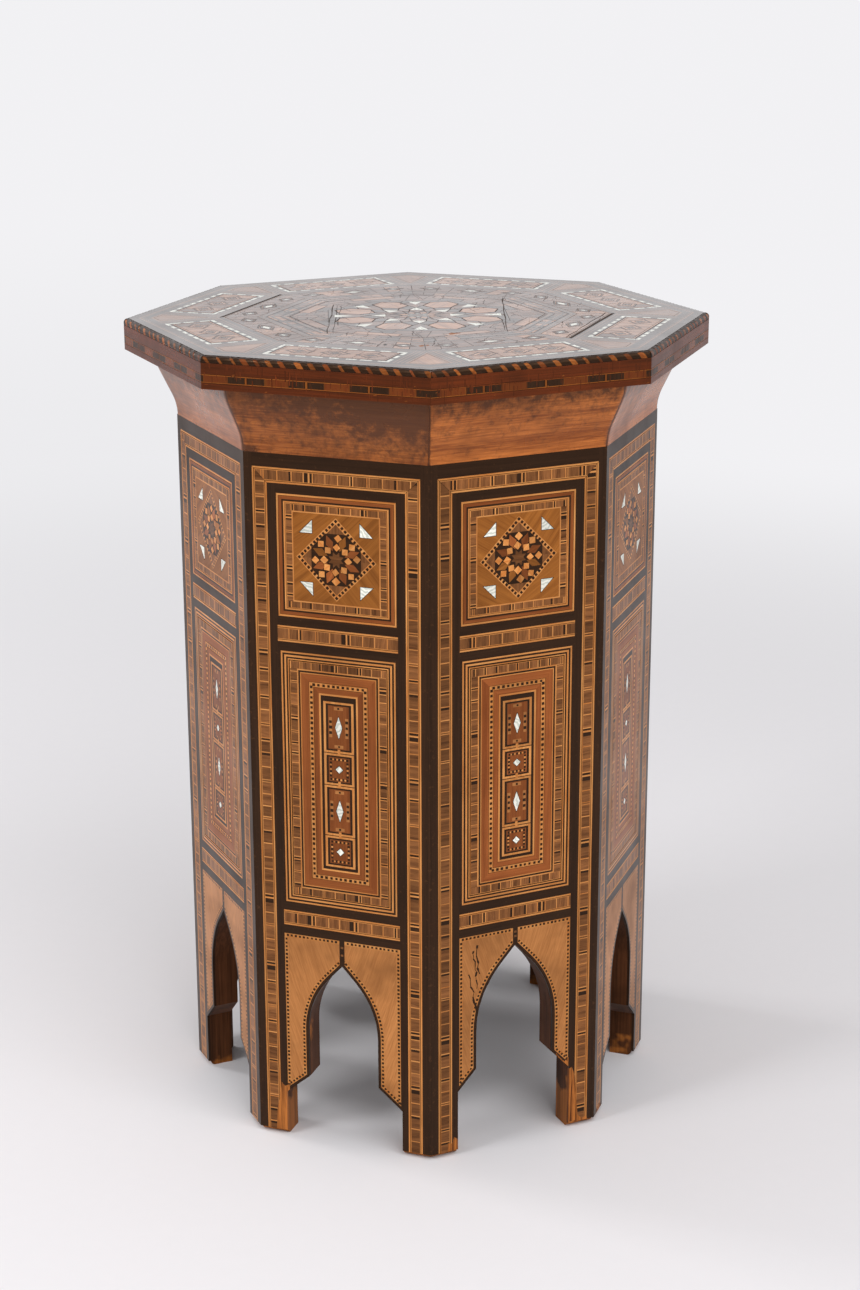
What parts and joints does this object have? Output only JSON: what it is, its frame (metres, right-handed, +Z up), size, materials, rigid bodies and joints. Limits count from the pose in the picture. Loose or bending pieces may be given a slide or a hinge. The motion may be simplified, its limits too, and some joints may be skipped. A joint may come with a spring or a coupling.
{
  "type": "octagonal inlaid side table",
  "caption": "Octagonal inlaid side table: arched legs under marquetry sides, coved cornice and a flat star-patterned top.",
  "frame": {"origin": "centre of the footprint on the floor", "axes": "+Z up, from the feet to the top; -Y out of the front side, side 1; the sides run anticlockwise seen from above"},
  "size_m": [0.4, 0.4, 0.6],
  "materials": {
    "carcass_wood": "dark oiled walnut, worn",
    "cornice_wood": "varnished orange-brown wood, satin",
    "edge_wood": "varnished reddish-brown wood, satin",
    "plank_wood": "bare pine",
    "striped_wood": "dark and orange wood by turns, satin",
    "ebony": "dark veneer under old varnish",
    "banding_wood": "light and dark blocks under old varnish",
    "frame_wood": "nested light, dark and red lines under old varnish",
    "fruitwood": "golden veneer under old varnish",
    "rosette_wood": "small dark and light pieces under old varnish",
    "mother_of_pearl": "polished shell",
    "top_field_wood": "small brown pieces under old varnish"
  },
  "bodies": {
    "root": {"corner_post_1": "carcass_wood", "corner_post_2": "carcass_wood", "corner_post_3": "carcass_wood", "corner_post_4": "carcass_wood", "corner_post_5": "carcass_wood", "corner_post_6": "carcass_wood", "corner_post_7": "carcass_wood", "corner_post_8": "carcass_wood", "side_panel_1": "carcass_wood", "side_panel_2": "carcass_wood", "side_panel_3": "carcass_wood", "side_panel_4": "carcass_wood", "side_panel_5": "carcass_wood", "side_panel_6": "carcass_wood", "side_panel_7": "carcass_wood", "side_panel_8": "carcass_wood", "arch_board_1": "carcass_wood", "arch_board_2": "carcass_wood", "arch_board_3": "carcass_wood", "arch_board_4": "carcass_wood", "arch_board_5": "carcass_wood", "arch_board_6": "carcass_wood", "arch_board_7": "carcass_wood", "arch_board_8": "carcass_wood", "cornice_board_1": "cornice_wood", "cornice_board_2": "cornice_wood", "cornice_board_3": "cornice_wood", "cornice_board_4": "cornice_wood", "cornice_board_5": "cornice_wood", "cornice_board_6": "cornice_wood", "cornice_board_7": "cornice_wood", "cornice_board_8": "cornice_wood", "edge_board_1": "edge_wood", "edge_board_2": "edge_wood", "edge_board_3": "edge_wood", "edge_board_4": "edge_wood", "edge_board_5": "edge_wood", "edge_board_6": "edge_wood", "edge_board_7": "edge_wood", "edge_board_8": "edge_wood", "top_plank_front": "plank_wood", "top_plank_middle": "plank_wood", "top_plank_back": "plank_wood", "top_battens": "plank_wood", "glue_blocks": "plank_wood", "rope_nosing": "striped_wood", "ebony_strips": "ebony", "block_banding": "banding_wood", "panel_frames": "frame_wood", "medallion_fields": "fruitwood", "medallion_stars": "rosette_wood", "tall_panel_fields": "ebony", "spandrel_veneers": "fruitwood", "arch_edging": "ebony", "side_pearls": "mother_of_pearl", "top_ground": "ebony", "top_cartouches": "top_field_wood", "top_corner_pieces": "fruitwood", "top_star": "top_field_wood", "top_pearls": "mother_of_pearl"}
  },
  "joints": []
}
